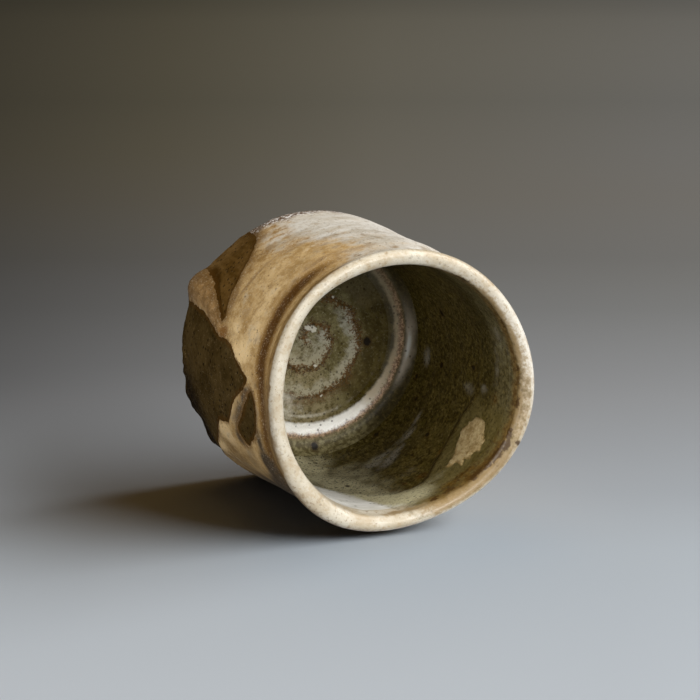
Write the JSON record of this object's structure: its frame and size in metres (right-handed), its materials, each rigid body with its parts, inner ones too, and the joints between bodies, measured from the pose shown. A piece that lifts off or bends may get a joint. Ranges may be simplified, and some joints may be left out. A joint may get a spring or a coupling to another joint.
{
  "type": "sake cup",
  "caption": "Small hand-thrown stoneware sake cup with shaved bare-clay facets, a cream slip coat and a glossy ash-glazed inside.",
  "frame": {"origin": "middle of the base, on the surface that the cup stands on", "axes": "+Z from the base to the mouth; +X towards the ridge between the two facets that the picture shows"},
  "size_m": [0.0616, 0.062, 0.055],
  "materials": {
    "bare_clay": "matte, gritty, dark brown fired stoneware",
    "cream_slip": "satin cream slip with brushed streaks, tan where thin",
    "ivory_glaze": "glossy ivory glaze with rusty breaks",
    "ash_glaze": "glossy olive-grey ash glaze with iron spots",
    "pooled_glaze": "thick glossy pooled ash glaze",
    "floor_ash": "glossy grey-green ash glaze over a throwing spiral, brown on the edges",
    "splash_slip": "satin cream slip splash"
  },
  "bodies": {
    "root": {"clay_body": "bare_clay", "outer_slip_coat": "cream_slip", "lip_glaze": "ivory_glaze", "inner_wall_glaze": "ash_glaze", "floor_edge_glaze": "pooled_glaze", "floor_glaze": "floor_ash", "inner_slip_patch": "splash_slip"}
  },
  "joints": []
}
